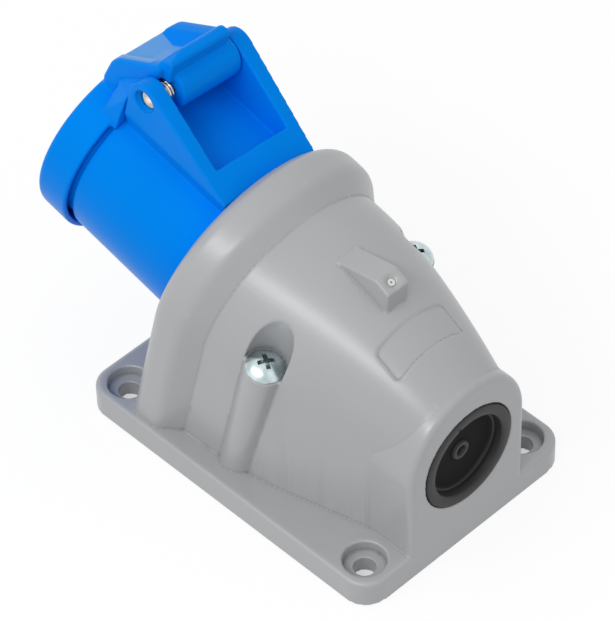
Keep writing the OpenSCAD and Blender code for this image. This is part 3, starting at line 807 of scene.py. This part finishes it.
# drain plug: pale pin with a fine hole, set in the dimple of the ramp
plug = {"radius": 1, "hole": 0.3, "low": -4, "high": -0.7, "edge": 0.12, "holeEdge": 0.1}


def makePlug():
    p = plug
    radius, hole, low, high, edge, inner = (p[k] for k in ("radius", "hole", "low", "high", "edge", "holeEdge"))
    profile = [(hole, low), (radius, low), (radius, high - edge), (radius - edge, high)]
    profile += [(hole + inner, high), (hole, high - inner), (hole, low)]
    body = turned("plugBody", drainFrame, profile, 40)
    finished(body, "base", "pale_insulator", "drain_plug", 30)


makePlug()

scene.view_settings.view_transform = "Standard"
studio = {
    "ambient": 0.66, "strip": (0.03, -0.68, 0.73), "stripSize": (1.0, 0.13), "stripPower": 3.3, "stripRaise": 0.04,
    "floorSize": 6, "floorDrop": 0.0003, "floorGrey": 0.6, "floorRoughness": 0.9, "floorShade": 0.16, "shadeLift": 0.85,
    "footprint": (0.049, 0.0345), "window": 0.034, "holeFloor": 0.6,
}


def seenDirectly(tree):  # 1 for rays that should meet plain white
    path = tree.nodes.new("ShaderNodeLightPath").outputs
    first = mathOf(tree, "MAXIMUM", path["Is Camera Ray"], path["Is Glossy Ray"])
    return mathOf(tree, "MAXIMUM", first, path["Is Transmission Ray"])


def lightWorld():
    world = bpy.data.worlds.new("studio")
    world.use_nodes = True
    scene.world = world
    tree = world.node_tree
    ambient = tree.nodes["Background"]
    plain = tree.nodes.new("ShaderNodeBackground")
    for light, strength in ((ambient, studio["ambient"]), (plain, 1)):
        light.inputs["Color"].default_value = (1, 1, 1, 1)
        light.inputs["Strength"].default_value = strength
    mixed = shaderMix(tree, seenDirectly(tree), ambient.outputs[0], plain.outputs[0])
    tree.links.new(mixed, tree.nodes["World Output"].inputs["Surface"])


def lightStrip():  # long soft lamp over the near side
    data = bpy.data.lights.new("strip", "AREA")
    data.shape = "RECTANGLE"
    data.size, data.size_y = studio["stripSize"]
    data.energy = studio["stripPower"]
    obj = bpy.data.objects.new("strip", data)
    scene.collection.objects.link(obj)
    back = Vector(studio["strip"]).normalized()
    right = Vector((0, 0, 1)).cross(back).normalized()
    raised = back + Vector((0, 0, studio["stripRaise"]))
    obj.matrix_world = Matrix.Translation(raised) @ facing(right, back.cross(right), back)


def floorMaterial():
    material = bpy.data.materials.new("paleFloor")
    material.use_nodes = True
    tree = material.node_tree
    pale = tree.nodes["Principled BSDF"]
    pale.inputs["Base Color"].default_value = (studio["floorGrey"],) * 3 + (1,)
    pale.inputs["Roughness"].default_value = studio["floorRoughness"]
    pale.inputs["Specular IOR Level"].default_value = 0
    shade = tree.nodes.new("ShaderNodeBsdfDiffuse")
    shade.inputs["Color"].default_value = (studio["floorShade"],) * 3 + (1,)
    glow = tree.nodes.new("ShaderNodeEmission")
    glow.inputs["Strength"].default_value = 1 - studio["floorShade"] * studio["shadeLift"]
    both = tree.nodes.new("ShaderNodeAddShader")
    tree.links.new(shade.outputs[0], both.inputs[0])
    tree.links.new(glow.outputs[0], both.inputs[1])
    split = tree.nodes.new("ShaderNodeSeparateXYZ")
    tree.links.new(tree.nodes.new("ShaderNodeTexCoord").outputs["Object"], split.inputs[0])

    def either(first, second):
        return mathOf(tree, "MAXIMUM", first, second)

    def beyond(axis, half):
        return mathOf(tree, "GREATER_THAN", mathOf(tree, "ABSOLUTE", split.outputs[axis]), half)

    length, width = studio["footprint"]  # under the flange the floor is seen only through the fixing holes
    reach = either(beyond("X", length), beyond("Y", width))
    white = mathOf(tree, "MULTIPLY", seenDirectly(tree), either(reach, studio["holeFloor"]))
    laid = shaderMix(tree, white, pale.outputs[0], both.outputs[0])
    # from below the floor lets the open back be seen, and light reaches it through a window
    under = tree.nodes.new("ShaderNodeNewGeometry").outputs["Backfacing"]
    path = tree.nodes.new("ShaderNodeLightPath").outputs
    kept = either(either(reach, beyond("X", studio["window"])), path["Is Camera Ray"])
    gap = either(under, mathOf(tree, "SUBTRACT", 1, kept))
    clear = tree.nodes.new("ShaderNodeBsdfTransparent")
    whole = shaderMix(tree, gap, laid, clear.outputs[0])
    tree.links.new(whole, tree.nodes["Material Output"].inputs["Surface"])
    return material


def layFloor():
    bm = bmesh.new()
    low = shift(0, 0, -studio["floorDrop"])
    bmesh.ops.create_grid(bm, x_segments=1, y_segments=1, size=studio["floorSize"], matrix=low)
    mesh = bpy.data.meshes.new("floor")
    bm.to_mesh(mesh)
    bm.free()
    obj = bpy.data.objects.new("floor", mesh)
    scene.collection.objects.link(obj)
    mesh.materials.append(floorMaterial())


lightWorld()
lightStrip()
layFloor()
print("light and floor set")
